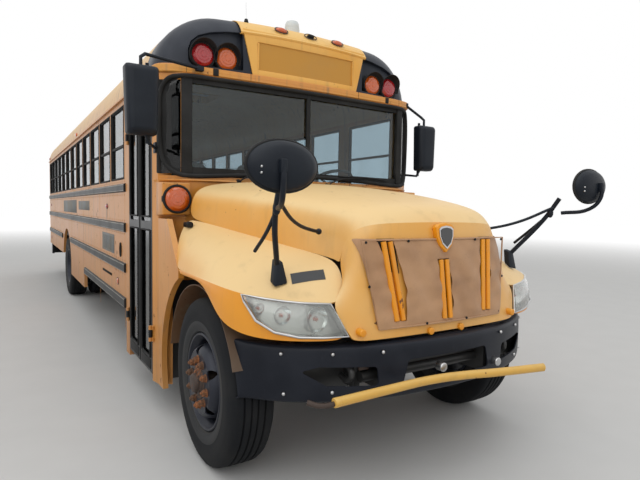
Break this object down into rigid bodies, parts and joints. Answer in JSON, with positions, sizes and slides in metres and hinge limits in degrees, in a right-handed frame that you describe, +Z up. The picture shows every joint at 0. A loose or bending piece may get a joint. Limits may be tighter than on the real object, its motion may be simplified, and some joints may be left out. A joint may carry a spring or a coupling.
{
  "type": "school bus",
  "caption": "Long-nosed school bus with a tilting hood, folding entry door, rear emergency door, roof hatches, stop arm and crossing gate.",
  "frame": {"origin": "on the ground at the middle of the bounding box in plan", "axes": "+X to the bus's left, +Y rearward, +Z up"},
  "size_m": [2.908, 11.9565, 3.245],
  "materials": {
    "body_yellow": "weathered school-bus yellow enamel",
    "hood_yellow": "sun-bleached yellow enamel on moulded panels",
    "black_trim": "black enamel",
    "hatch_white": "moulded hatch lid",
    "sash_metal": "dark sash frame",
    "glass": "tinted safety glass",
    "floor_rubber": "ribbed floor covering",
    "lens_red": "moulded lamp lens",
    "sign_ochre": "blank sign board",
    "tan_vinyl": "coated cloth winter cover",
    "headlamp_clear": "clear lamp lens",
    "mirror_black": "black mirror shell",
    "gate_yellow": "yellow enamel",
    "stop_red": "red enamel",
    "chassis_black": "black frame paint",
    "spring_steel": "dull rusty steel",
    "cast_axle": "cast iron",
    "engine_iron": "cast iron",
    "tank_steel": "black tank paint",
    "wheel_black": "black wheel paint with rust",
    "tyre": "worn rubber",
    "seat_vinyl": "coated cloth seat cover",
    "seat_steel": "painted tube",
    "dash_plastic": "dark moulded panel"
  },
  "bodies": {
    "bus_body": {"side_wall_right": "body_yellow", "side_wall_left": "body_yellow", "roof_shell": "body_yellow", "front_cap": "black_trim", "front_frame": "body_yellow", "rear_wall": "body_yellow", "rub_rails": "black_trim", "front_bumper": "black_trim", "rear_bumper": "black_trim", "window_sashes": "sash_metal", "window_glass": "glass", "windshield": "glass", "floor_deck": "floor_rubber", "step_well": "floor_rubber", "lamp_lenses": "lens_red", "sign_boards": "sign_ochre", "side_mirrors": "mirror_black", "chassis_frame": "chassis_black", "leaf_springs": "spring_steel", "front_axle": "cast_axle", "rear_axle": "cast_axle", "driveshaft": "spring_steel", "engine_block": "engine_iron", "fuel_tank": "tank_steel", "seat_pads": "seat_vinyl", "seat_frames": "seat_steel", "dash_panel": "dash_plastic", "steering_wheel": "dash_plastic"},
    "knuckle_left": {"knuckle_left": "cast_axle"},
    "knuckle_right": {"knuckle_right": "cast_axle"},
    "wheel_front_left": {"front_wheel_left": "wheel_black", "front_tyre_left": "tyre"},
    "wheel_front_right": {"front_wheel_right": "wheel_black", "front_tyre_right": "tyre"},
    "wheel_rear_left": {"rear_wheels_left": "wheel_black", "rear_tyres_left": "tyre"},
    "wheel_rear_right": {"rear_wheels_right": "wheel_black", "rear_tyres_right": "tyre"},
    "door_front_leaf": {"door_leaf_front": "black_trim", "door_glass_front": "glass"},
    "door_rear_leaf": {"door_leaf_rear": "black_trim", "door_glass_rear": "glass"},
    "emergency_door": {"rear_door": "body_yellow", "rear_door_glass": "glass"},
    "hatch_front": {"roof_hatch_front": "hatch_white"},
    "hatch_rear": {"roof_hatch_rear": "hatch_white"},
    "hood": {"hood_shell": "hood_yellow", "grille_cover": "tan_vinyl", "headlights": "headlamp_clear", "crossview_mirrors": "mirror_black"},
    "gate": {"crossing_gate": "gate_yellow"},
    "stop_sign_arm": {"stop_arm": "stop_red"}
  },
  "joints": [
    {"name": "steer_left", "type": "hinge", "parent": "bus_body", "child": "knuckle_left", "pos_m": [0.9, -4.8, 0.518], "axis": [0, 0, 1], "range_deg": [-35, 35]},
    {"name": "steer_right", "type": "hinge", "parent": "bus_body", "child": "knuckle_right", "pos_m": [-0.9, -4.8, 0.518], "axis": [0, 0, 1], "range_deg": [-35, 35]},
    {"name": "roll_front_left", "type": "hinge", "parent": "knuckle_left", "child": "wheel_front_left", "pos_m": [1.0275, -4.8, 0.518], "axis": [1, 0, 0], "continuous": true},
    {"name": "roll_front_right", "type": "hinge", "parent": "knuckle_right", "child": "wheel_front_right", "pos_m": [-1.0275, -4.8, 0.518], "axis": [1, 0, 0], "continuous": true},
    {"name": "roll_rear_left", "type": "hinge", "parent": "bus_body", "child": "wheel_rear_left", "pos_m": [0.897, 2.21, 0.518], "axis": [1, 0, 0], "continuous": true},
    {"name": "roll_rear_right", "type": "hinge", "parent": "bus_body", "child": "wheel_rear_right", "pos_m": [-0.897, 2.21, 0.518], "axis": [1, 0, 0], "continuous": true},
    {"name": "door_front_swing", "type": "hinge", "parent": "bus_body", "child": "door_front_leaf", "pos_m": [-1.235, -3.846, 1.4], "axis": [0, 0, 1], "range_deg": [0, 90]},
    {"name": "door_rear_swing", "type": "hinge", "parent": "bus_body", "child": "door_rear_leaf", "pos_m": [-1.235, -3.024, 1.4], "axis": [0, 0, -1], "range_deg": [0, 90]},
    {"name": "emergency_door_swing", "type": "hinge", "parent": "bus_body", "child": "emergency_door", "pos_m": [-0.446, 5.836, 1.74], "axis": [0, 0, 1], "range_deg": [0, 105]},
    {"name": "hatch_front_lift", "type": "hinge", "parent": "bus_body", "child": "hatch_front", "pos_m": [0, -1.412, 3.14], "axis": [1, 0, 0], "range_deg": [0, 60]},
    {"name": "hatch_rear_lift", "type": "hinge", "parent": "bus_body", "child": "hatch_rear", "pos_m": [0, 2.858, 3.14], "axis": [1, 0, 0], "range_deg": [0, 60]},
    {"name": "hood_tilt", "type": "hinge", "parent": "bus_body", "child": "hood", "pos_m": [0, -5.73, 0.905], "axis": [1, 0, 0], "range_deg": [0, 55]},
    {"name": "gate_swing", "type": "hinge", "parent": "bus_body", "child": "gate", "pos_m": [-1, -5.6, 0.7], "axis": [0, 0, -1], "range_deg": [0, 90]},
    {"name": "stop_arm_swing", "type": "hinge", "parent": "bus_body", "child": "stop_sign_arm", "pos_m": [1.269, -2.84, 1.62], "axis": [0, 0, -1], "range_deg": [0, 90]}
  ],
  "couplings": [
    {"joint": "steer_right", "follows": "steer_left", "ratio": 1},
    {"joint": "door_rear_swing", "follows": "door_front_swing", "ratio": 1}
  ]
}
